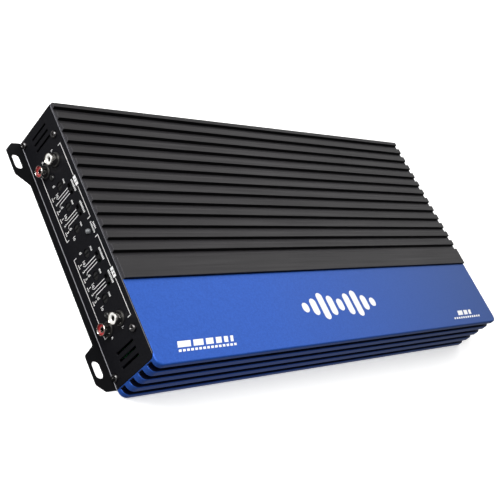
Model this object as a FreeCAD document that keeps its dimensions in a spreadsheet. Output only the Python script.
import FreeCAD, Part
import os
import re

import Sketcher
from FreeCAD import Placement, Rotation, Vector

# A car audio amplifier: an extruded black heatsink and a blue front cover over a steel bottom plate,
# closed at both ends by bent steel panels whose flanges carry the mounting ears. The left panel holds
# the signal jacks and the controls, the right panel the power, fuse and loudspeaker connections.
#
# Frame: X runs along the fins, -Y points to the blue front, +Z is up. The origin is the middle of the
# footprint, at the level on which the ears stand. Every size is in millimetres.

# name, value, what it is: the one place where a size is set
SIZES = (
    ("body_length", 392.6, "heatsink extrusion from end to end"),
    ("body_depth", 200.0, "front fins to back wall"),
    ("overall_height", 46.4, "floor to the fin tops"),
    ("sheet_thick", 1.0, "end panels, flanges and bottom plate"),
    # heatsink
    ("heatsink_depth", 139.4, "back wall to the joint with the front cover"),
    ("fin_pitch", 9.612, "top fin to top fin"),
    ("groove_width", 4.8, "top groove at its mouth"),
    ("groove_floor", 3.8, "top groove at its floor"),
    ("fin_depth", 2.9, "depth of a top groove"),
    ("groove_count", 13, "top grooves"),
    ("last_fin", 3.8, "width of the fin at the back edge"),
    ("back_round", 1.3, "rounding of the back edge"),
    ("top_wall", 5.0, "metal under the top grooves"),
    ("back_wall", 6.5, "back wall over its ribs"),
    ("back_groove", 2.0, "depth of the grooves in the back wall"),
    ("tongue_length", 9.5, "lip under the front cover"),
    ("tongue_thick", 3.0, "lip under the front cover"),
    ("foot_width", 11.0, "foot that takes the bottom screws"),
    ("foot_height", 6.4, "foot that takes the bottom screws"),
    ("boss_width", 7.0, "rib that takes an upper end screw"),
    # front cover
    ("cover_step", 1.9, "cover top below the fin tops"),
    ("cover_plate", 4.4, "top plate of the cover"),
    ("cover_wall", 2.6, "front wall behind the side grooves"),
    ("side_pitch", 10.2, "side fin to side fin"),
    ("side_groove", 4.6, "height of a side groove"),
    ("side_depth", 5.2, "depth of a side groove"),
    ("corner_round", 5.5, "front corners seen from above"),
    ("edge_round", 1.2, "top front edge of the cover"),
    ("fin_round", 0.7, "edges of the side fins"),
    ("joint_gap", 0.3, "shadow gap round the cover"),
    # end panels
    ("panel_height", 44.0, "floor to the panel's top edge"),
    ("panel_inset", 6.5, "panel's front edge behind the front fins"),
    ("panel_corner", 4.0, "top front corner of a panel"),
    ("bend_inner", 0.6, "inside radius of the bend"),
    ("flange_width", 4.6, "flange between the ears"),
    ("ear_width", 13.3, "flange at an ear"),
    ("ear_chamfer", 5.6, "cut-off outer corner of an ear"),
    ("ear_edge", 20.5, "straight outer edge of an ear"),
    ("back_slope", 9.6, "run of the back ear's slope"),
    ("front_slope", 6.4, "run of the front ear's slope"),
    ("ear_round", 3.0, "roundings of the flange's outline"),
    ("panel_back_inset", 0.4, "panel's back edge in front of the back wall's face"),
    ("slot_reach", 8.3, "slot centre from the panel's face"),
    ("slot_width", 6.0, "mounting slot"),
    ("slot_length", 12.4, "mounting slot"),
    ("slot_back_inset", 16.3, "back slot from the back"),
    ("slot_front_inset", 21.8, "front slot from the front fins"),
    ("vent_width", 1.8, "vent slit"),
    ("vent_low", 13.3, "lower end of a vent slit"),
    ("vent_high", 32.5, "upper end of a vent slit"),
    ("vent_pitch", 4.95, "slit to slit"),
    ("vent_back_inset", 12.8, "middle slit of the back group from the back"),
    ("vent_front_inset", 19.8, "middle slit of the front group from the front fins"),
    # end panel screws
    ("upper_screw_z", 37.3, "upper end screws"),
    ("lower_screw_z", 4.3, "lower end screws"),
    ("back_upper_inset", 20.7, "upper screw from the back"),
    ("back_lower_inset", 4.7, "lower screw from the back"),
    ("front_upper_inset", 30.3, "upper screw from the front fins"),
    ("front_lower_inset", 13.3, "lower screw from the front fins"),
    ("screw_radius", 1.3, "end screw thread"),
    ("screw_reach", 9.0, "end screw length under the head"),
    ("head_radius", 2.7, "end screw head"),
    ("head_height", 1.9, "end screw head"),
    ("head_taper", 0.72, "face of a screw head as a part of its root"),
    ("recess_arm", 3.2, "cross recess, tip to tip"),
    ("recess_width", 0.8, "cross recess"),
    ("recess_depth", 1.1, "cross recess"),
    ("hole_play", 0.2, "radial play of a screw in a plain hole"),
    ("thread_play", 0.02, "radial play of a screw in its thread"),
    # bottom plate
    ("plate_screw_x", 160.0, "outer bottom screws, X"),
    ("plate_screw_near", 53.0, "inner bottom screws, X"),
    ("plate_screw_radius", 1.25, "bottom screw thread"),
    ("plate_head_radius", 2.4, "bottom screw head, sunk flush"),
    ("plate_screw_length", 5.0, "bottom screw"),
    ("drill_over", 0.5, "tapped hole beyond a bottom screw's tip"),
    ("plate_screw_inset", 7.5, "bottom screws from the body's front and back, beyond the wall"),
    # circuit boards
    ("board_left_inset", 7.3, "main board's left edge from the heatsink's end"),
    ("board_right_inset", 10.3, "main board's right edge from the heatsink's end"),
    ("board_front_inset", 24.0, "main board from the front fins"),
    ("board_back_inset", 18.0, "main board from the back"),
    ("board_lift", 6.0, "standoff height"),
    ("board_thick", 1.6, "circuit boards"),
    ("standoff_radius", 3.0, "standoff"),
    ("standoff_x", 150.0, "outer standoffs, X"),
    ("standoff_inset", 5.0, "standoffs from the board's edge"),
    ("board_screw_radius", 2.7, "head of a board screw"),
    ("board_screw_height", 1.6, "head of a board screw"),
    ("control_gap", 8.8, "panel to control board"),
    ("control_top", 36.6, "control board's top edge, Z"),
    ("connector_length", 80.0, "connector between the boards, along Y"),
    ("connector_size", 5.0, "connector between the boards, across"),
    # jacks
    ("jack_back", 64.6, "back jack pair, Y"),
    ("jack_front", -57.8, "front jack pair, Y"),
    ("jack_upper", 28.8, "upper jacks, Z"),
    ("jack_lower", 14.9, "lower jacks, Z"),
    ("jack_block_width", 13.0, "moulded jack block"),
    ("jack_shell_radius", 4.15, "phono jack's outer contact"),
    ("jack_shell_wall", 0.45, "phono jack's outer contact"),
    ("jack_neck_step", 0.6, "outer contact is this much slimmer inside its moulding"),
    ("jack_neck_sunk", 4.0, "outer contact beyond the panel's back"),
    ("jack_lug", 6.0, "lug for the jack screw, across"),
    ("jack_lug_thick", 3.5, "lug for the jack screw, along X"),
    ("insert_sink", 0.3, "coloured insert below the outer contact's rim"),
    ("jack_reach", 6.1, "jack beyond the panel's face"),
    ("collar_radius", 4.9, "moulded collar round a jack"),
    ("collar_reach", 0.7, "collar beyond the panel's face"),
    ("pin_hole", 1.9, "hole in the coloured insert"),
    ("contact_wall", 0.25, "centre contact sleeve"),
    ("contact_sink", 1.2, "centre contact below the outer contact's rim"),
    ("contact_sunk", 2.0, "centre contact beyond the panel's back"),
    ("jack_screw_side", 7.9, "jack screw beside its jacks"),
    ("jack_screw_z", 19.0, "jack screw, Z"),
    ("jack_screw_radius", 1.1, "jack screw thread"),
    ("jack_screw_head", 2.0, "jack screw head, radius"),
    ("jack_screw_rise", 1.3, "jack screw head, height"),
    ("jack_screw_length", 4.0, "jack screw under the head"),
    # rotary controls and slide switches
    ("pot_back", 47.4, "first control of the back group, Y"),
    ("pot_front", -5.9, "first control of the front group, Y"),
    ("pot_pitch", 17.15, "control to control"),
    ("pot_z", 22.2, "rotary controls, Z"),
    ("pot_size", 9.6, "body of a rotary control"),
    ("pot_depth", 5.0, "body of a rotary control"),
    ("knob_radius", 2.6, "slotted shaft"),
    ("knob_sink", 0.3, "shaft end below the panel's face"),
    ("knob_sunk", 3.0, "shaft into the body of its control"),
    ("knob_slot", 0.8, "screwdriver slot"),
    ("knob_slot_depth", 1.0, "screwdriver slot"),
    ("knob_play", 0.05, "running clearance of a shaft"),
    ("knob_hole", 3.0, "panel hole for a shaft, radius"),
    ("switch_z", 31.1, "slide switches, Z"),
    ("switch_width", 12.0, "body of a slide switch"),
    ("switch_height", 6.0, "body of a slide switch"),
    ("window_width", 8.2, "slide switch window"),
    ("window_height", 3.2, "slide switch window"),
    ("slider_width", 2.8, "slide switch actuator"),
    ("slider_play", 0.2, "actuator in its window"),
    ("slider_sink", 0.3, "actuator end below the panel's face"),
    ("slider_notch", 0.8, "notch for a fingernail, deep"),
    ("slider_cavity", 3.4, "depth of the window in the switch body"),
    # indicator
    ("led_y", 4.4, "indicator, Y"),
    ("led_z", 32.3, "indicator, Z"),
    ("led_radius", 1.9, "indicator lens"),
    ("led_reach", 0.5, "cylinder of the lens beyond the panel's face"),
    # power terminals
    ("power_y", 57.0, "power terminal block, Y"),
    ("power_pitch", 12.6, "pole to pole"),
    ("power_height", 18.0, "block height"),
    ("power_cage", 9.4, "clamp cage, outside width"),
    ("power_cage_height", 10.6, "clamp cage, outside height"),
    ("power_cage_wall", 1.1, "clamp cage"),
    ("power_screw", 2.4, "clamp screw radius"),
    # loudspeaker terminals
    ("speaker_y", -38.0, "loudspeaker terminal block, Y"),
    ("speaker_pitch", 7.7, "pole to pole"),
    ("speaker_height", 14.0, "block height"),
    ("speaker_cage", 6.3, "clamp cage, outside width"),
    ("speaker_cage_height", 8.4, "clamp cage, outside height"),
    ("speaker_cage_wall", 0.7, "clamp cage"),
    ("speaker_screw", 1.45, "clamp screw radius"),
    # common to both terminal blocks
    ("block_reach", 9.0, "terminal block beyond the panel's face"),
    ("block_wall", 1.6, "plastic round a clamp cage"),
    ("block_base", 10.2, "underside of the terminal blocks, Z"),
    ("block_sunk", 8.0, "terminal block beyond the panel's back"),
    ("clamp_sink", 0.8, "clamp cage and screw head below the block's faces"),
    ("clamp_slot", 0.7, "screwdriver slot of a clamp screw, wide"),
    ("clamp_slot_depth", 1.0, "screwdriver slot of a clamp screw, deep"),
    ("cage_play", 0.1, "clamp cage in its cavity"),
    ("cage_length", 8.0, "clamp cage along X"),
    ("socket_depth", 14.0, "wire socket from the block's face"),
    ("screw_tip", 0.62, "screw tip height as a part of the cage's height"),
    # fuses
    ("fuse_y", 14.0, "fuses, Y"),
    ("fuse_low", 15.0, "lower fuse, Z"),
    ("fuse_pitch", 10.0, "fuse to fuse"),
    ("fuse_width", 19.1, "blade fuse"),
    ("fuse_thick", 5.1, "blade fuse"),
    ("fuse_reach", 6.5, "fuse beyond the panel's face"),
    ("fuse_body", 13.0, "moulded part of the fuse"),
    ("fuse_grip", 3.5, "thick end of the fuse, along X"),
    ("fuse_waist", 3.7, "thin part of the fuse"),
    ("blade_length", 7.5, "fuse blade"),
    ("blade_width", 5.2, "fuse blade"),
    ("blade_thick", 0.7, "fuse blade"),
    ("blade_side", 5.6, "blade centre from the fuse's middle"),
    ("fuse_play", 0.35, "fuse in its holder"),
    ("holder_wall", 1.8, "plastic round a fuse"),
    ("holder_lip", 0.6, "fuse holder beyond the panel's face"),
    # inner parts
    ("torus_x", 92.0, "power transformer, X"),
    ("torus_y", -20.0, "power transformer, Y"),
    ("core_outer", 26.0, "transformer core, outer radius"),
    ("core_inner", 14.0, "transformer core, inner radius"),
    ("core_height", 15.0, "transformer core"),
    ("winding_thick", 3.5, "winding over the core"),
    ("can_radius", 8.0, "supply capacitor"),
    ("can_height", 25.0, "supply capacitor"),
    ("choke_radius", 11.0, "output choke"),
    ("choke_bore", 5.0, "output choke"),
    ("choke_height", 10.0, "output choke"),
    ("choke_wire", 1.5, "winding over a choke"),
    ("small_can_radius", 4.0, "signal capacitor"),
    ("small_can_height", 12.5, "signal capacitor"),
    ("chip_length", 20.0, "signal chip"),
    ("chip_width", 10.0, "signal chip"),
    ("chip_height", 3.4, "signal chip"),
    ("transistor_count", 12, "power transistors"),
    ("transistor_pitch", 27.0, "transistor to transistor"),
    ("transistor_width", 10.2, "power transistor"),
    ("transistor_thick", 4.5, "power transistor"),
    ("transistor_height", 15.5, "power transistor"),
    ("transistor_z", 13.5, "underside of the transistor bodies"),
    ("lead_width", 0.8, "transistor lead"),
    ("lead_pitch", 2.54, "lead to lead"),
    ("lead_inset", 1.5, "leads behind the transistor's front"),
    ("lead_foot", 1.0, "foot of a lead on the board, high"),
    ("lead_toe", 2.0, "foot of a lead in from the board's edge"),
    ("pad_thick", 0.4, "insulating strip"),
    ("pad_margin", 1.0, "insulating strip beyond the transistors"),
    ("bar_thick", 2.0, "clamp bar"),
    ("bar_height", 7.0, "clamp bar"),
    ("panel_play", 0.25, "air round a part that passes through a panel"),
)
# places that follow the body's ends, as formulas in the same sheet
PLACES = (
    ("slot_back", "body_depth / 2 - slot_back_inset", "back slot, Y"),
    ("slot_front", "slot_front_inset - body_depth / 2", "front slot, Y"),
    ("vent_back", "body_depth / 2 - vent_back_inset", "middle slit of the back group, Y"),
    ("vent_front", "vent_front_inset - body_depth / 2", "middle slit of the front group, Y"),
    ("back_upper_screw", "body_depth / 2 - back_upper_inset", "end screw, Y"),
    ("back_lower_screw", "body_depth / 2 - back_lower_inset", "end screw, Y"),
    ("front_upper_screw", "front_upper_inset - body_depth / 2", "end screw, Y"),
    ("front_lower_screw", "front_lower_inset - body_depth / 2", "end screw, Y"),
    ("board_left", "board_left_inset - body_length / 2", "main board's left edge, X"),
    ("board_right", "body_length / 2 - board_right_inset", "main board's right edge, X"),
    ("board_front", "board_front_inset - body_depth / 2", "main board's front edge, Y"),
    ("board_back", "body_depth / 2 - board_back_inset", "main board's back edge, Y"),
)
ALIASES = {name for name, value, meaning in SIZES + PLACES}

# ------------------------------------------------------------------ named places, as formulas
BODY_END = "(body_length / 2)"
PANEL_FACE = "(body_length / 2 + sheet_thick)"
BACK = "(body_depth / 2)"
FRONT = "(-body_depth / 2)"
JOINT = "(body_depth / 2 - heatsink_depth)"
COVER_TOP = "(overall_height - cover_step)"
TONGUE_TOP = "(overall_height - cover_step - cover_plate)"
CEILING = "(overall_height - fin_depth - top_wall)"
FOOT_TOP = "(sheet_thick + foot_height)"
BOSS_LOW = "(upper_screw_z - boss_width / 2)"
PANEL_FRONT = "(panel_inset - body_depth / 2)"
PANEL_BACK = "(body_depth / 2 - panel_back_inset)"
BOARD_LOW = "(sheet_thick + board_lift)"
BOARD_TOP = "(sheet_thick + board_lift + board_thick)"
CONTROL_FRONT = "(-body_length / 2 + control_gap)"
WALL_FACE = "(body_depth / 2 - back_wall)"
BLOCK_FACE = "(body_length / 2 + sheet_thick + block_reach)"
PLATE_SCREW_COLUMNS = ("-plate_screw_x", "-plate_screw_near", "plate_screw_near", "plate_screw_x")
PLATE_SCREW_BACK = "(body_depth / 2 - plate_screw_inset)"
PLATE_SCREW_FRONT = "(-body_depth / 2 + side_depth + plate_screw_inset)"
PLATE_SCREWS = [(x, y) for x in PLATE_SCREW_COLUMNS for y in (PLATE_SCREW_BACK, PLATE_SCREW_FRONT)]

# parts on the main board, (x, y) of each
CAN_PLACES = [(x, y) for x in (34, 52, 140, 158) for y in (20, 40)]
SMALL_CAN_PLACES = [(x, -58) for x in range(-150, -40, 15)]
CHOKE_PLACES = [(x, 40) for x in (-130, -90, -50, -10)]
CHIP_PLACES = [(x, -15) for x in (-145, -115, -85, -55)]

doc = FreeCAD.newDocument("car_amplifier")
sheet = doc.addObject("Spreadsheet::Sheet", "Sizes")
nodes = []


# ------------------------------------------------------------------ helpers
def fill_sheet():
    """Write every driving size into the sheet: name, value with its alias, meaning."""
    for row, (name, value, meaning) in enumerate(SIZES + PLACES, start=1):
        sheet.set(f"A{row}", name)
        sheet.set(f"B{row}", f"={value}")
        sheet.set(f"C{row}", meaning)
        sheet.setAlias(f"B{row}", name)
    doc.recompute()


def size(name):
    """The value of one cell of the sheet."""
    return float(sheet.get(name))


def cells(formula):
    """Point every size named in a formula at its cell."""
    def pointed(match):
        word = match.group(0)
        return f"Sizes.{word}" if word in ALIASES else word
    return re.sub(r"[a-z][a-z_]+", pointed, str(formula))


def bind(item, **formulas):
    """Bind properties of an object to formulas."""
    for prop, formula in formulas.items():
        item.setExpression(prop, cells(formula))


def place(item, x, y, z):
    """Bind an object's position to formulas."""
    for axis, formula in zip("xyz", (x, y, z)):
        item.setExpression(f"Placement.Base.{axis}", cells(formula))


def keep(item, label):
    """Name an object as a sub-part."""
    item.Label = label
    nodes.append(item)
    return item


def block(x, y, z):
    """A box between three (low, high) pairs of formulas."""
    item = doc.addObject("Part::Box", "Block")
    spans = [f"({high}) - ({low})" for low, high in (x, y, z)]
    bind(item, Length=spans[0], Width=spans[1], Height=spans[2])
    place(item, x[0], y[0], z[0])
    return item


AXIS_TURN = {
    "X": Rotation(Vector(0, 1, 0), 90),
    "Y": Rotation(Vector(1, 0, 0), -90),
    "Z": Rotation(),
}


def rod(axis, radius, start, end, across):
    """A cylinder along an axis from start to end, at two coordinates across it."""
    item = doc.addObject("Part::Cylinder", "Rod")
    item.Placement = Placement(Vector(), AXIS_TURN[axis])
    bind(item, Radius=radius, Height=f"({end}) - ({start})")
    first, second = across
    corner = {"X": (start, first, second), "Y": (first, start, second), "Z": (first, second, start)}
    place(item, *corner[axis])
    return item


def cone(axis, wide, narrow, start, end, across):
    """A cone along an axis, of radius wide at its start and narrow at its end."""
    item = doc.addObject("Part::Cone", "Cone")
    item.Placement = Placement(Vector(), AXIS_TURN[axis])
    bind(item, Radius1=wide, Radius2=narrow, Height=f"({end}) - ({start})")
    first, second = across
    corner = {"X": (start, first, second), "Y": (first, start, second), "Z": (first, second, start)}
    place(item, *corner[axis])
    return item


def group(items):
    """Several separate solids as one shape."""
    item = doc.addObject("Part::Compound", "Group")
    item.Links = list(items)
    return item


def fuse(*items):
    """Solids joined into one."""
    item = doc.addObject("Part::MultiFuse", "Joined")
    item.Shapes = list(items)
    item.Refine = True
    return item


def cut(base, *tools):
    """A solid with others taken away from it."""
    item = doc.addObject("Part::Cut", "Cut")
    item.Base = base
    item.Tool = tools[0] if len(tools) == 1 else group(tools)
    return item


def tube(axis, outer, inner, start, end, across):
    """A round tube along an axis."""
    return cut(rod(axis, outer, start, end, across),
               rod(axis, inner, f"{start} - 1", f"{end} + 1", across))


def new_body(label):
    return keep(doc.addObject("PartDesign::Body", label), label)


def sketch_on(body, role, offset="0"):
    """An empty sketch on one of a body's own origin planes, moved along the plane's normal."""
    sketch = body.newObject("Sketcher::SketchObject", "Profile")
    plane = next(item for item in body.Origin.OriginFeatures if item.Role == role)
    sketch.AttachmentSupport = [(plane, "")]
    sketch.MapMode = "FlatFace"
    sketch.setExpression("AttachmentOffset.Base.z", cells(offset))
    return sketch


def pin_point(sketch, geometry, point, across, up):
    """Fix one point of a sketch at two formulas."""
    for kind, formula in (("DistanceX", across), ("DistanceY", up)):
        index = sketch.addConstraint(Sketcher.Constraint(kind, -1, 1, geometry, point, 1.0 + geometry))
        sketch.setExpression(f"Constraints[{index}]", cells(formula))


def polygon(sketch, corners):
    """A closed outline with straight sides through corners given as pairs of formulas."""
    count = len(corners)
    first = sketch.GeometryCount
    for step in range(count):
        start = Vector(10.0 + step, step * step, 0)
        following = (step + 1) % count
        end = Vector(10.0 + following, following * following, 0)
        sketch.addGeometry(Part.LineSegment(start, end), False)
    for step in range(count):
        following = first + (step + 1) % count
        sketch.addConstraint(Sketcher.Constraint("Coincident", first + step, 2, following, 1))
        pin_point(sketch, first + step, 1, *corners[step])


def rectangle(sketch, across, up):
    """A rectangle between two (low, high) pairs of formulas."""
    polygon(sketch, [(across[0], up[0]), (across[1], up[0]), (across[1], up[1]), (across[0], up[1])])


def circle(sketch, across, up, radius):
    index = sketch.addGeometry(Part.Circle(Vector(5, 5, 0), Vector(0, 0, 1), 1.0), False)
    pin_point(sketch, index, 3, across, up)
    bound = sketch.addConstraint(Sketcher.Constraint("Radius", index, 1.0))
    sketch.setExpression(f"Constraints[{bound}]", cells(radius))


def pad(body, sketch, length):
    """Grow a sketch along its plane's normal."""
    feature = body.newObject("PartDesign::Pad", "Pad")
    feature.Profile = sketch
    bind(feature, Length=length)
    return feature


def pocket(body, sketch, length):
    """Cut a sketch away along its plane's normal."""
    feature = body.newObject("PartDesign::Pocket", "Pocket")
    feature.Profile = sketch
    feature.Reversed = True
    bind(feature, Length=length)
    return feature


def round_edges(body, radius, wanted):
    """Round the edges of a body that a test picks by their two ends."""
    doc.recompute()
    base = body.Tip
    names = [
        f"Edge{number}"
        for number, edge in enumerate(base.Shape.Edges, start=1)
        if len(edge.Vertexes) == 2 and wanted(edge.Vertexes[0].Point, edge.Vertexes[1].Point)
    ]
    if not names:
        raise RuntimeError(f"{body.Label}: no edge to round")
    feature = body.newObject("PartDesign::Fillet", "Rounding")
    feature.Base = (base, names)
    bind(feature, Radius=radius)
    return feature


def near(first, second, slack=0.02):
    return abs(first - second) < slack


# ------------------------------------------------------------------ extrusions
def make_heatsink():
    body = new_body("heatsink")
    profile = sketch_on(body, "YZ_Plane", f"-{BODY_END}")
    back_screw_low = "back_upper_screw - boss_width / 2"
    back_screw_high = "back_upper_screw + boss_width / 2"
    polygon(profile, [
        (BACK, "sheet_thick"),
        (BACK, "overall_height"),
        (JOINT, "overall_height"),
        (JOINT, TONGUE_TOP),
        (f"{JOINT} - tongue_length", TONGUE_TOP),
        (f"{JOINT} - tongue_length", f"{TONGUE_TOP} - tongue_thick"),
        (f"{JOINT} + top_wall", f"{TONGUE_TOP} - tongue_thick"),
        (f"{JOINT} + top_wall", CEILING),
        (back_screw_low, CEILING),
        (back_screw_low, BOSS_LOW),
        (back_screw_high, BOSS_LOW),
        (back_screw_high, CEILING),
        (WALL_FACE, CEILING),
        (WALL_FACE, FOOT_TOP),
        (f"{BACK} - foot_width", FOOT_TOP),
        (f"{BACK} - foot_width", "sheet_thick"),
    ])
    pad(body, profile, "body_length")
    back = size("body_depth") / 2
    top = size("overall_height")
    round_edges(body, "back_round", lambda a, b: near(a.y, back) and near(a.z, top) and near(b.z, top)
                and near(b.y, back))

    groove = sketch_on(body, "YZ_Plane", f"-{BODY_END} - 1")
    mouth_back = f"{BACK} - last_fin"
    mouth_front = f"{BACK} - last_fin - groove_width"
    slant = "(groove_width - groove_floor) / 2"
    polygon(groove, [
        (mouth_back, "overall_height"),
        (mouth_back, "overall_height + 1"),
        (mouth_front, "overall_height + 1"),
        (mouth_front, "overall_height"),
        (f"{mouth_front} + {slant}", "overall_height - fin_depth"),
        (f"{mouth_back} - {slant}", "overall_height - fin_depth"),
    ])
    first_groove = pocket(body, groove, "body_length + 2")
    doc.recompute()
    repeat = body.newObject("PartDesign::LinearPattern", "TopGrooves")
    repeat.Originals = [first_groove]
    repeat.Direction = (groove, ["H_Axis"])
    repeat.Reversed = True
    repeat.Mode = "Spacing"
    bind(repeat, Offset="fin_pitch", Occurrences="groove_count")
    body.Tip = repeat

    holes = sketch_on(body, "YZ_Plane", f"-{BODY_END} - 1")
    circle(holes, "back_upper_screw", "upper_screw_z", "screw_radius + thread_play")
    circle(holes, "back_lower_screw", "lower_screw_z", "screw_radius + thread_play")
    for step in range(4):
        low = f"{COVER_TOP} - cover_plate - side_groove - {step} * side_pitch"
        rectangle(holes, (f"{BACK} - back_groove", f"{BACK} + 1"), (low, f"{low} + side_groove"))
    pocket(body, holes, "body_length + 2")
    drill_foot(body, PLATE_SCREW_BACK)


def drill_foot(body, y):
    """Threaded holes from below for a row of bottom screws."""
    holes = sketch_on(body, "XY_Plane")
    for x in PLATE_SCREW_COLUMNS:
        circle(holes, x, y, "plate_screw_radius + thread_play")
    pocket(body, holes, "plate_screw_length + drill_over")


def make_front_cover():
    body = new_body("front_cover")
    profile = sketch_on(body, "YZ_Plane", f"-{PANEL_FACE}")
    wall = f"({FRONT} + side_depth + cover_wall)"
    boss_low = "front_upper_screw - boss_width / 2"
    boss_high = "front_upper_screw + boss_width / 2"
    polygon(profile, [
        (FRONT, "sheet_thick"),
        (f"{FRONT} + side_depth + foot_width", "sheet_thick"),
        (f"{FRONT} + side_depth + foot_width", FOOT_TOP),
        (wall, FOOT_TOP),
        (wall, TONGUE_TOP),
        (boss_low, TONGUE_TOP),
        (boss_low, BOSS_LOW),
        (boss_high, BOSS_LOW),
        (boss_high, TONGUE_TOP),
        (f"{JOINT} - joint_gap", TONGUE_TOP),
        (f"{JOINT} - joint_gap", COVER_TOP),
        (FRONT, COVER_TOP),
    ])
    pad(body, profile, "body_length + 2 * sheet_thick")
    front = -size("body_depth") / 2
    end = size("body_length") / 2 + size("sheet_thick")
    top = size("overall_height") - size("cover_step")
    low = size("sheet_thick")
    round_edges(body, "corner_round", lambda a, b: near(a.y, front) and near(b.y, front)
                and near(abs(a.x), end) and near(a.x, b.x))
    round_edges(body, "edge_round", lambda a, b: near(a.z, top) and near(b.z, top)
                and (near(a.y, front) or near(b.y, front) or (near(abs(a.x), end) and near(a.x, b.x))))

    grooves = sketch_on(body, "YZ_Plane", f"-{PANEL_FACE} - 1")
    for step in range(4):
        bottom = f"{COVER_TOP} - cover_plate - side_groove - {step} * side_pitch"
        rectangle(grooves, (f"{FRONT} - 1", f"{FRONT} + side_depth"), (bottom, f"{bottom} + side_groove"))
    circle(grooves, "front_upper_screw", "upper_screw_z", "screw_radius + thread_play")
    circle(grooves, "front_lower_screw", "lower_screw_z", "screw_radius + thread_play")
    pocket(body, grooves, "body_length + 2 * sheet_thick + 2")
    floor = front + size("side_depth")
    round_edges(body, "fin_round", lambda a, b: near(a.z, b.z) and low - 1 < a.z < top - 3
                and min(a.y, b.y) < front + 0.1 and max(a.y, b.y) < floor + 0.1)

    for start in (f"-{PANEL_FACE} - 1", BODY_END):
        seat = sketch_on(body, "YZ_Plane", start)
        rectangle(seat, (f"{PANEL_FRONT} - joint_gap", BACK), ("0", "panel_height + joint_gap"))
        pocket(body, seat, "sheet_thick + 1")
    seat_front = size("panel_inset") - size("body_depth") / 2 - size("joint_gap")
    seat_top = size("panel_height") + size("joint_gap")
    round_edges(body, "panel_corner", lambda a, b: near(a.y, seat_front) and near(b.y, seat_front)
                and near(a.z, seat_top) and near(b.z, seat_top))
    drill_foot(body, PLATE_SCREW_FRONT)


# ------------------------------------------------------------------ sheet metal
def flange_outline(side):
    """Corners of a flange with its two ears, for the left (-1) or the right (1) panel."""
    def at(reach, y):
        return f"{side} * ({PANEL_FACE} + {reach})", y

    back = PANEL_BACK
    front = PANEL_FRONT
    return [
        (f"{side} * {BODY_END}", back),
        at("ear_width - ear_chamfer", back),
        at("ear_width", f"{back} - ear_chamfer"),
        at("ear_width", f"{back} - ear_chamfer - ear_edge"),
        at("flange_width", f"{back} - ear_chamfer - ear_edge - back_slope"),
        at("flange_width", f"{front} + ear_chamfer + ear_edge + front_slope"),
        at("ear_width", f"{front} + ear_chamfer + ear_edge"),
        at("ear_width", f"{front} + ear_chamfer"),
        at("ear_width - ear_chamfer", front),
        (f"{side} * {BODY_END}", front),
    ]


def make_panel(label, side, punch):
    """A bent end panel: an upright sheet, a flange with two ears, and what punch() cuts out."""
    body = new_body(label)
    inner = f"{side} * {BODY_END}"
    upright = sketch_on(body, "YZ_Plane", inner if side > 0 else f"-{PANEL_FACE}")
    rectangle(upright, (PANEL_FRONT, PANEL_BACK), ("0", "panel_height"))
    pad(body, upright, "sheet_thick")
    flange = sketch_on(body, "XY_Plane")
    polygon(flange, flange_outline(side))
    pad(body, flange, "sheet_thick")

    face = size("body_length") / 2 + size("sheet_thick")
    thick = size("sheet_thick")
    top = size("panel_height")
    front = size("panel_inset") - size("body_depth") / 2
    round_edges(body, "ear_round", lambda a, b: near(a.x, b.x) and near(a.y, b.y)
                and abs(a.x) > face + size("flange_width") - 1 and abs(a.z - b.z) > thick / 2)
    round_edges(body, "panel_corner", lambda a, b: near(a.z, top) and near(b.z, top)
                and near(a.y, front) and near(b.y, front))
    round_edges(body, "bend_inner", lambda a, b: near(abs(a.x), face) and near(a.x, b.x)
                and near(a.z, thick) and near(b.z, thick) and abs(a.y - b.y) > thick)
    round_edges(body, "bend_inner + sheet_thick", lambda a, b: near(abs(a.x), face - thick)
                and near(a.x, b.x) and near(a.z, 0) and near(b.z, 0) and abs(a.y - b.y) > thick)

    holes = sketch_on(body, "YZ_Plane", f"{side} * {BODY_END} - sheet_thick - 1")
    for y, z in SCREW_PLACES:
        circle(holes, y, z, "screw_radius + hole_play")
    for middle in ("vent_back", "vent_front"):
        for step in (-1, 0, 1):
            centre = f"{middle} + {step} * vent_pitch"
            rectangle(holes, (f"{centre} - vent_width / 2", f"{centre} + vent_width / 2"),
                      ("vent_low", "vent_high"))
    punch(holes)
    pocket(body, holes, "2 * sheet_thick + 2")

    slots = sketch_on(body, "XY_Plane", "-1")
    middle = f"{side} * ({PANEL_FACE} + slot_reach)"
    for centre in ("slot_back", "slot_front"):
        rectangle(slots, (f"{middle} - slot_width / 2", f"{middle} + slot_width / 2"),
                  (f"{centre} - slot_length / 2", f"{centre} + slot_length / 2"))
    pocket(body, slots, "sheet_thick + 2")
    slot_x = face + size("slot_reach")
    half = size("slot_width") / 2
    round_edges(body, "slot_width * 0.49", lambda a, b: near(a.x, b.x) and near(a.y, b.y)
                and near(abs(abs(a.x) - slot_x), half))


SCREW_PLACES = (
    ("back_upper_screw", "upper_screw_z"),
    ("back_lower_screw", "lower_screw_z"),
    ("front_upper_screw", "upper_screw_z"),
    ("front_lower_screw", "lower_screw_z"),
)
JACK_PAIRS = ("jack_back", "jack_front")
JACK_LEVELS = ("jack_upper", "jack_lower")
POT_PLACES = [f"{group_start} - {step} * pot_pitch"
              for group_start in ("pot_back", "pot_front") for step in (0, 1, 2)]
SWITCH_PLACES = [f"{group_start} - {step} * pot_pitch"
                 for group_start in ("pot_back", "pot_front") for step in (0.5, 1.5)]
JACK_SCREWS = ("jack_back - jack_screw_side", "jack_front + jack_screw_side")
POWER_POLES = [f"power_y + {step} * power_pitch" for step in (-1, 0, 1)]
SPEAKER_POLES = [f"speaker_y + {step - 3.5} * speaker_pitch" for step in range(8)]
POWER_HALF = "(1.5 * power_pitch + block_wall)"
SPEAKER_HALF = "(4 * speaker_pitch + block_wall)"
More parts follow.
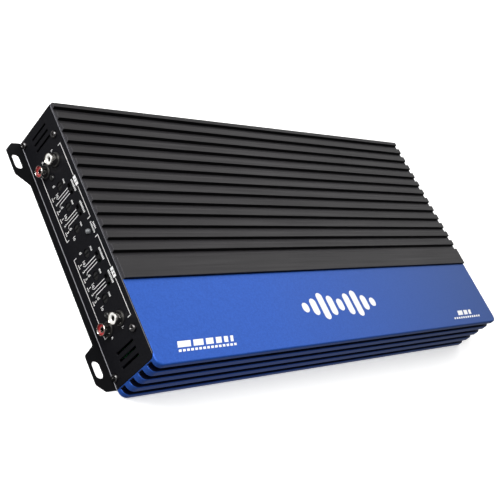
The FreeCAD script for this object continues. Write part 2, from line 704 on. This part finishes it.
FUSE_LEVELS = [f"(fuse_low + {step} * fuse_pitch)" for step in (0, 1)]
HOLDER_HALF = "(fuse_width / 2 + fuse_play + holder_wall)"
HOLDER_LOW = "(fuse_low - fuse_thick / 2 - fuse_play - holder_wall)"
HOLDER_HIGH = "(fuse_low + fuse_pitch + fuse_thick / 2 + fuse_play + holder_wall)"


def punch_input(holes):
    """Openings of the left panel: jacks, their screws, shafts, switch windows and the indicator."""
    for pair in JACK_PAIRS:
        for level in JACK_LEVELS:
            circle(holes, pair, level, "collar_radius + panel_play")
    for place_y in JACK_SCREWS:
        circle(holes, place_y, "jack_screw_z", "jack_screw_radius + hole_play")
    for pot in POT_PLACES:
        circle(holes, pot, "pot_z", "knob_hole")
    for switch in SWITCH_PLACES:
        rectangle(holes, (f"{switch} - window_width / 2", f"{switch} + window_width / 2"),
                  ("switch_z - window_height / 2", "switch_z + window_height / 2"))
    circle(holes, "led_y", "led_z", "led_radius + panel_play")


def punch_output(holes):
    """Openings of the right panel: power block, fuse holder and loudspeaker block."""
    rectangle(holes, (f"power_y - {POWER_HALF} - panel_play", f"power_y + {POWER_HALF} + panel_play"),
              ("block_base - panel_play", "block_base + power_height + panel_play"))
    rectangle(holes, (f"speaker_y - {SPEAKER_HALF} - panel_play", f"speaker_y + {SPEAKER_HALF} + panel_play"),
              ("block_base - panel_play", "block_base + speaker_height + panel_play"))
    rectangle(holes, (f"fuse_y - {HOLDER_HALF} - panel_play", f"fuse_y + {HOLDER_HALF} + panel_play"),
              (f"{HOLDER_LOW} - panel_play", f"{HOLDER_HIGH} + panel_play"))


STANDOFFS = [(f"{step} * standoff_x", y)
             for step in (-1, 0, 1)
             for y in ("board_back - standoff_inset", "board_front + standoff_inset")]


def make_bottom_plate():
    plate = block((f"-{BODY_END}", BODY_END),
                  (PANEL_FRONT, PANEL_BACK), ("0", "sheet_thick"))
    sinks = []
    for x, y in PLATE_SCREWS:
        sinks.append(cone("Z", "plate_head_radius + thread_play", "plate_screw_radius + thread_play",
                          "0", "sheet_thick", (x, y)))
    for x, y in STANDOFFS:
        sinks.append(rod("Z", "plate_screw_radius + thread_play", "-1", "sheet_thick + 1", (x, y)))
    keep(cut(plate, *sinks), "bottom_plate")


# ------------------------------------------------------------------ fasteners
def cross_recess(face, into, across):
    """Two crossed bars that cut a screwdriver recess into a head's face, into = +1 or -1 along X."""
    first, second = across
    low = face if into > 0 else f"{face} - recess_depth"
    high = f"{face} + recess_depth" if into > 0 else face
    long_y = block((low, high), (f"{first} - recess_arm / 2", f"{first} + recess_arm / 2"),
                   (f"{second} - recess_width / 2", f"{second} + recess_width / 2"))
    long_z = block((low, high), (f"{first} - recess_width / 2", f"{first} + recess_width / 2"),
                   (f"{second} - recess_arm / 2", f"{second} + recess_arm / 2"))
    return fuse(long_y, long_z)


def pan_screw(side, y, z):
    """One end-panel screw: shank, tapered head and cross recess."""
    tip = f"{BODY_END} + sheet_thick - screw_reach"
    face = f"{PANEL_FACE} + head_height"
    if side > 0:
        shank = rod("X", "screw_radius", tip, PANEL_FACE, (y, z))
        head = cone("X", "head_radius", "head_radius * head_taper", PANEL_FACE, face, (y, z))
        recess = cross_recess(face, -1, (y, z))
    else:
        shank = rod("X", "screw_radius", f"-{PANEL_FACE}", f"-({tip})", (y, z))
        head = cone("X", "head_radius * head_taper", "head_radius", f"-({face})", f"-{PANEL_FACE}", (y, z))
        recess = cross_recess(f"-({face})", 1, (y, z))
    return cut(fuse(shank, head), recess)


def make_screws():
    keep(group([pan_screw(side, y, z) for side in (-1, 1) for y, z in SCREW_PLACES]), "end_panel_screws")

    plate_screws = []
    for x, y in PLATE_SCREWS:
        head = cone("Z", "plate_head_radius", "plate_screw_radius", "0", "sheet_thick", (x, y))
        shank = rod("Z", "plate_screw_radius", "sheet_thick", "plate_screw_length", (x, y))
        plate_screws.append(fuse(head, shank))
    keep(group(plate_screws), "bottom_plate_screws")

    standoffs = []
    for spot in STANDOFFS:
        pillar = rod("Z", "standoff_radius", "sheet_thick", BOARD_LOW, spot)
        root = rod("Z", "plate_screw_radius", "0", "sheet_thick", spot)
        standoffs.append(fuse(pillar, root))
    keep(group(standoffs), "board_standoffs")
    board_screws = []
    for spot in STANDOFFS:
        board_screws.append(rod("Z", "board_screw_radius", BOARD_TOP,
                                f"{BOARD_TOP} + board_screw_height", spot))
    keep(group(board_screws), "board_screws")

    jack_screws = []
    root = f"-{PANEL_FACE}"
    face = f"-{PANEL_FACE} - jack_screw_rise"
    for y in JACK_SCREWS:
        spot = (y, "jack_screw_z")
        shank = rod("X", "jack_screw_radius", root, f"{root} + jack_screw_length", spot)
        head = cone("X", "jack_screw_head * head_taper", "jack_screw_head", face, root, spot)
        recess = cross_recess(face, 1, spot)
        jack_screws.append(cut(fuse(shank, head), recess))
    keep(group(jack_screws), "jack_screws")


# ------------------------------------------------------------------ boards
def make_boards():
    board = block(("board_left", "board_right"), ("board_front", "board_back"), (BOARD_LOW, BOARD_TOP))
    keep(board, "main_circuit_board")
    control = block((CONTROL_FRONT, f"{CONTROL_FRONT} + board_thick"),
                    ("jack_front - jack_block_width / 2 - 1", "jack_back + jack_block_width / 2 + 1"),
                    (BOARD_TOP, "control_top"))
    keep(control, "control_circuit_board")
    joined = block((f"{CONTROL_FRONT} + board_thick", f"{CONTROL_FRONT} + board_thick + connector_size"),
                   ("-connector_length / 2", "connector_length / 2"),
                   (BOARD_TOP, f"{BOARD_TOP} + connector_size"))
    keep(joined, "board_connector")


# ------------------------------------------------------------------ signal jacks
def make_jacks():
    """Two moulded blocks with two phono jacks each: outer contact, coloured insert and centre contact."""
    blocks, shells, contacts = [], [], []
    inserts = {"jack_upper": [], "jack_lower": []}
    rim = f"(-{PANEL_FACE} - jack_reach)"
    root = f"(-{PANEL_FACE} - collar_reach)"
    step = f"({root} - jack_shell_wall)"
    shell_end = f"(-{BODY_END} + jack_neck_sunk)"
    contact_end = f"(-{BODY_END} + contact_sunk)"
    inside = "(jack_shell_radius - jack_shell_wall)"
    neck = "(jack_shell_radius - jack_neck_step)"
    throat = "(jack_shell_radius - jack_neck_step - jack_shell_wall)"
    for pair, screw_y in zip(JACK_PAIRS, JACK_SCREWS):
        lug = block((f"-{BODY_END}", f"-{BODY_END} + jack_lug_thick"),
                    (f"{screw_y} - jack_lug / 2", f"{screw_y} + jack_lug / 2"),
                    ("jack_screw_z - jack_lug / 2", "jack_screw_z + jack_lug / 2"))
        moulding = block((f"-{BODY_END}", CONTROL_FRONT),
                         (f"{pair} - jack_block_width / 2", f"{pair} + jack_block_width / 2"),
                         (BOARD_TOP, "control_top - 1"))
        collars = [rod("X", "collar_radius", root, f"-{BODY_END}", (pair, level)) for level in JACK_LEVELS]
        hollow = [rod("X", neck, f"{root} - 1", shell_end, (pair, level)) for level in JACK_LEVELS]
        screw_hole = rod("X", "jack_screw_radius + thread_play", f"-{BODY_END} - 1",
                         f"-{BODY_END} + jack_lug_thick + 1", (screw_y, "jack_screw_z"))
        blocks.append(cut(fuse(moulding, lug, *collars), *hollow, screw_hole))
        for level in JACK_LEVELS:
            spot = (pair, level)
            cup = cut(fuse(rod("X", "jack_shell_radius", rim, root, spot),
                           rod("X", neck, root, shell_end, spot)),
                      rod("X", inside, f"{rim} - 1", step, spot),
                      rod("X", throat, f"{step} - 1", f"{shell_end} + 1", spot))
            shells.append(cup)
            filling = fuse(rod("X", inside, f"{rim} + insert_sink", step, spot),
                           rod("X", throat, step, shell_end, spot))
            inserts[level].append(cut(filling, rod("X", "pin_hole", f"{rim} - 1", contact_end, spot)))
            contacts.append(tube("X", "pin_hole", "pin_hole - contact_wall",
                                 f"{rim} + contact_sink", contact_end, spot))
    keep(group(blocks), "jack_housings")
    keep(group(shells), "jack_shells")
    keep(group(inserts["jack_upper"]), "jack_white_inserts")
    keep(group(inserts["jack_lower"]), "jack_red_inserts")
    keep(group(contacts), "jack_centre_contacts")


# ------------------------------------------------------------------ controls
def make_rotary_controls():
    bodies = []
    start = f"({CONTROL_FRONT} - pot_depth)"
    for number, pot in enumerate(POT_PLACES, start=1):
        case = block((start, CONTROL_FRONT), (f"{pot} - pot_size / 2", f"{pot} + pot_size / 2"),
                     ("pot_z - pot_size / 2", "pot_z + pot_size / 2"))
        bore = rod("X", "knob_radius + knob_play", f"{start} - 1", f"{start} + knob_sunk", (pot, "pot_z"))
        bodies.append(cut(case, bore))
        outer = f"(-{PANEL_FACE} + knob_sink)"
        shaft = rod("X", "knob_radius", outer, f"{start} + knob_sunk - knob_play", (pot, "pot_z"))
        slot = block((f"{outer} - 1", f"{outer} + knob_slot_depth"),
                     (f"{pot} - knob_slot / 2", f"{pot} + knob_slot / 2"),
                     ("pot_z - knob_radius - 1", "pot_z + knob_radius + 1"))
        keep(cut(shaft, slot), f"control_shaft_{number}")
    keep(group(bodies), "control_bodies")


def make_slide_switches():
    bodies = []
    start = f"({CONTROL_FRONT} - pot_depth - 1)"
    for number, switch in enumerate(SWITCH_PLACES, start=1):
        case = block((start, CONTROL_FRONT), (f"{switch} - switch_width / 2", f"{switch} + switch_width / 2"),
                     ("switch_z - switch_height / 2", "switch_z + switch_height / 2"))
        cavity = block((f"{start} - 1", f"{start} + slider_cavity"),
                       (f"{switch} - window_width / 2", f"{switch} + window_width / 2"),
                       ("switch_z - window_height / 2", "switch_z + window_height / 2"))
        bodies.append(cut(case, cavity))
        outer = f"(-{PANEL_FACE} + slider_sink)"
        slider = block((outer, f"{start} + slider_cavity - slider_play"),
                       (f"{switch} - slider_width / 2", f"{switch} + slider_width / 2"),
                       ("switch_z - window_height / 2 + slider_play",
                        "switch_z + window_height / 2 - slider_play"))
        notch = block((f"{outer} - 1", f"{outer} + slider_notch"),
                      (f"{switch} - slider_width / 6", f"{switch} + slider_width / 6"),
                      ("switch_z - window_height", "switch_z + window_height"))
        keep(cut(slider, notch), f"switch_slider_{number}")
    keep(group(bodies), "switch_bodies")


def make_indicator():
    """A round indicator: a barrel with a domed end, from in front of the panel back to the control board."""
    barrel = rod("X", "led_radius", f"-{PANEL_FACE} - led_reach", CONTROL_FRONT, ("led_y", "led_z"))
    dome = doc.addObject("Part::Sphere", "Dome")
    bind(dome, Radius="led_radius")
    place(dome, f"-{PANEL_FACE} - led_reach", "led_y", "led_z")
    keep(fuse(barrel, dome), "indicator_lamp")


# ------------------------------------------------------------------ terminals
def make_terminals(kind, centre, half, poles):
    """A screw terminal block with one clamp cage and one slotted screw for each pole."""
    height, cage, tall = f"{kind}_height", f"{kind}_cage", f"{kind}_cage_height"
    wall, radius = f"{kind}_cage_wall", f"{kind}_screw"
    low = "(block_base + block_wall)"
    cage_end = f"({BLOCK_FACE} - clamp_sink)"
    cage_start = f"({BLOCK_FACE} - clamp_sink - cage_length)"
    screw_x = f"({BLOCK_FACE} - clamp_sink - cage_length / 2)"
    case = block((f"{BODY_END} - block_sunk", BLOCK_FACE), (f"{centre} - {half}", f"{centre} + {half}"),
                 ("block_base", f"block_base + {height}"))
    hollows, cages, screws = [], [], []
    for pole in poles:
        side_low, side_high = f"({pole} - {cage} / 2)", f"({pole} + {cage} / 2)"
        hollows.append(block((f"{BLOCK_FACE} - socket_depth", f"{BLOCK_FACE} + 1"),
                             (f"{side_low} - cage_play", f"{side_high} + cage_play"),
                             (f"{low} - cage_play", f"{low} + {tall} + cage_play")))
        hollows.append(rod("Z", f"{radius} + hole_play", f"{low} + {tall}", f"block_base + {height} + 1",
                           (screw_x, pole)))
        shell = block((cage_start, cage_end), (side_low, side_high), (low, f"{low} + {tall}"))
        mouth = block((f"{cage_start} - 1", f"{cage_end} + 1"),
                      (f"{side_low} + {wall}", f"{side_high} - {wall}"),
                      (f"{low} + {wall}", f"{low} + {tall} - {wall}"))
        thread = rod("Z", f"{radius} + thread_play", f"{low} + {tall} - {wall} - 1", f"{low} + {tall} + 1",
                     (screw_x, pole))
        cages.append(cut(shell, mouth, thread))
        top = f"(block_base + {height} - clamp_sink)"
        shaft = rod("Z", radius, f"{low} + {tall} * screw_tip", top, (screw_x, pole))
        slot = block((f"{screw_x} - {radius} - 1", f"{screw_x} + {radius} + 1"),
                     (f"{pole} - clamp_slot / 2", f"{pole} + clamp_slot / 2"),
                     (f"{top} - clamp_slot_depth", f"{top} + 1"))
        screws.append(cut(shaft, slot))
    keep(cut(case, *hollows), f"{kind}_terminal_block")
    keep(group(cages), f"{kind}_clamp_cages")
    keep(group(screws), f"{kind}_clamp_screws")


# ------------------------------------------------------------------ fuses
def make_fuses():
    """Two flat blade fuses, one above the other, in one holder."""
    face = f"({PANEL_FACE} + fuse_reach)"
    seat = f"({PANEL_FACE} + fuse_reach - fuse_body)"
    holder = block((f"{seat} - blade_length - holder_wall", f"{PANEL_FACE} + holder_lip"),
                   (f"fuse_y - {HOLDER_HALF}", f"fuse_y + {HOLDER_HALF}"), (HOLDER_LOW, HOLDER_HIGH))
    hollows = []
    for number, level in enumerate(FUSE_LEVELS, start=1):
        hollows.append(block((f"{seat} - fuse_play", f"{face} + 1"),
                             ("fuse_y - fuse_width / 2 - fuse_play", "fuse_y + fuse_width / 2 + fuse_play"),
                             (f"{level} - fuse_thick / 2 - fuse_play",
                              f"{level} + fuse_thick / 2 + fuse_play")))
        blades = []
        for side in (-1, 1):
            middle = f"(fuse_y + {side} * blade_side)"
            hollows.append(block((f"{seat} - blade_length - fuse_play", f"{seat}"),
                                 (f"{middle} - blade_width / 2 - fuse_play",
                                  f"{middle} + blade_width / 2 + fuse_play"),
                                 (f"{level} - blade_thick / 2 - fuse_play",
                                  f"{level} + blade_thick / 2 + fuse_play")))
            blades.append(block((f"{seat} - blade_length", seat),
                                (f"{middle} - blade_width / 2", f"{middle} + blade_width / 2"),
                                (f"{level} - blade_thick / 2", f"{level} + blade_thick / 2")))
        grip = block((f"{face} - fuse_grip", face), ("fuse_y - fuse_width / 2", "fuse_y + fuse_width / 2"),
                     (f"{level} - fuse_thick / 2", f"{level} + fuse_thick / 2"))
        core = block((seat, f"{face} - fuse_grip"), ("fuse_y - fuse_width / 2", "fuse_y + fuse_width / 2"),
                     (f"{level} - fuse_waist / 2", f"{level} + fuse_waist / 2"))
        keep(fuse(core, grip), f"blade_fuse_{number}")
        keep(group(blades), f"fuse_blades_{number}")
    keep(cut(holder, *hollows), "fuse_holder")


# ------------------------------------------------------------------ parts on the main board
def make_transformer():
    spot = ("torus_x", "torus_y")
    low = f"({BOARD_TOP} + winding_thick)"
    high = f"({low} + core_height)"
    keep(tube("Z", "core_outer", "core_inner", low, high, spot), "transformer_core")
    cover = tube("Z", "core_outer + winding_thick", "core_inner - winding_thick",
                 f"{low} - winding_thick", f"{high} + winding_thick", spot)
    keep(cut(cover, tube("Z", "core_outer", "core_inner", low, high, spot)), "transformer_windings")


def make_capacitors():
    keep(group([rod("Z", "can_radius", BOARD_TOP, f"{BOARD_TOP} + can_height", spot)
                for spot in CAN_PLACES]), "supply_capacitors")
    keep(group([rod("Z", "small_can_radius", BOARD_TOP, f"{BOARD_TOP} + small_can_height", spot)
                for spot in SMALL_CAN_PLACES]), "signal_capacitors")


def make_chokes():
    cores, coils = [], []
    low = f"({BOARD_TOP} + choke_wire)"
    high = f"({BOARD_TOP} + choke_wire + choke_height)"
    for spot in CHOKE_PLACES:
        cores.append(tube("Z", "choke_radius", "choke_bore", low, high, spot))
        outer = tube("Z", "choke_radius + choke_wire", "choke_bore - choke_wire",
                     BOARD_TOP, f"{high} + choke_wire", spot)
        coils.append(cut(outer, tube("Z", "choke_radius", "choke_bore", low, high, spot)))
    keep(group(cores), "choke_cores")
    keep(group(coils), "choke_windings")


def make_chips():
    chips = []
    for x, y in CHIP_PLACES:
        chips.append(block((f"{x} - chip_width / 2", f"{x} + chip_width / 2"),
                           (f"{y} - chip_length / 2", f"{y} + chip_length / 2"),
                           (BOARD_TOP, f"{BOARD_TOP} + chip_height")))
    keep(group(chips), "signal_chips")


def make_transistors():
    """A row of power transistors pressed on the back wall by a bar, with an insulating strip between."""
    count = int(size("transistor_count"))
    pad_face = f"({WALL_FACE} - pad_thick)"
    front = f"({WALL_FACE} - pad_thick - transistor_thick)"
    bar_face = f"({WALL_FACE} - pad_thick - transistor_thick - bar_thick)"
    lead_back = f"({front} + lead_inset + lead_width)"
    low, high = "transistor_z", "(transistor_z + transistor_height)"
    middle = "(transistor_z + transistor_height / 2)"
    half = f"({count} * transistor_pitch / 2)"
    cases, leads = [], []
    for step in range(count):
        x = f"({step - (count - 1) / 2} * transistor_pitch)"
        cases.append(block((f"{x} - transistor_width / 2", f"{x} + transistor_width / 2"),
                           (front, pad_face), (low, high)))
        for pin in (-1, 0, 1):
            pin_x = f"({x} + {pin} * lead_pitch)"
            wide = (f"{pin_x} - lead_width / 2", f"{pin_x} + lead_width / 2")
            stem = block(wide, (f"{front} + lead_inset", lead_back), (f"{BOARD_TOP} + lead_foot", low))
            toe = block(wide, ("board_back - lead_toe", lead_back), (BOARD_TOP, f"{BOARD_TOP} + lead_foot"))
            leads.append(fuse(stem, toe))

    spots = [(f"({step - (count - 2) / 2} * transistor_pitch)", middle) for step in range(count - 1)]
    screws = [fuse(rod("Y", "screw_radius", bar_face, WALL_FACE, spot),
                   rod("Y", "head_radius", f"{bar_face} - head_height", bar_face, spot)) for spot in spots]
    strip = block((f"-{half}", half), (pad_face, WALL_FACE), (f"{low} - pad_margin", f"{high} + pad_margin"))
    strip_holes = [rod("Y", "screw_radius + thread_play", f"{pad_face} - 1", f"{WALL_FACE} + 1", spot)
                   for spot in spots]
    bar = block((f"-{half}", half), (bar_face, front),
                (f"{middle} - bar_height / 2", f"{middle} + bar_height / 2"))
    bar_holes = [rod("Y", "screw_radius + thread_play", f"{bar_face} - 1", f"{front} + 1", spot)
                 for spot in spots]
    keep(group(cases), "power_transistors")
    keep(group(leads), "transistor_leads")
    keep(cut(strip, *strip_holes), "insulating_strip")
    keep(cut(bar, *bar_holes), "clamp_bar")
    keep(group(screws), "clamp_bar_screws")


# ------------------------------------------------------------------ checks and export
def check_model():
    """Stop if any object failed, any pocket cut nothing, or any sub-part has a bad shape."""
    doc.recompute()
    for item in doc.Objects:
        if "Invalid" in item.State or "Error" in item.State:
            raise RuntimeError(f"{item.Label} failed: {item.State}")
        if item.TypeId == "PartDesign::Pocket" and item.BaseFeature is not None:
            if item.Shape.Volume >= item.BaseFeature.Shape.Volume:
                raise RuntimeError(f"{item.Label} in {item.getParentGeoFeatureGroup().Label} cuts nothing")
    for node in nodes:
        if node.Shape.isNull() or not node.Shape.isValid() or not node.Shape.Solids:
            raise RuntimeError(f"{node.Label} has no valid solid")


def export_parts():
    os.makedirs("parts", exist_ok=True)
    for node in nodes:
        node.Shape.exportStep(f"parts/{node.Label}.step")
        box = node.Shape.BoundBox
        print(f"{node.Label:26s} {len(node.Shape.Solids):3d} solids  {box.XLength:7.1f}{box.YLength:7.1f}"
              f"{box.ZLength:7.1f}  volume {node.Shape.Volume / 1000:8.2f} cm3")


fill_sheet()
make_heatsink()
make_front_cover()
make_panel("input_end_panel", -1, punch_input)
make_panel("output_end_panel", 1, punch_output)
make_bottom_plate()
make_screws()
make_boards()
make_jacks()
make_rotary_controls()
make_slide_switches()
make_indicator()
make_terminals("power", "power_y", POWER_HALF, POWER_POLES)
make_terminals("speaker", "speaker_y", SPEAKER_HALF, SPEAKER_POLES)
make_fuses()
make_transformer()
make_capacitors()
make_chokes()
make_chips()
make_transistors()
check_model()
export_parts()
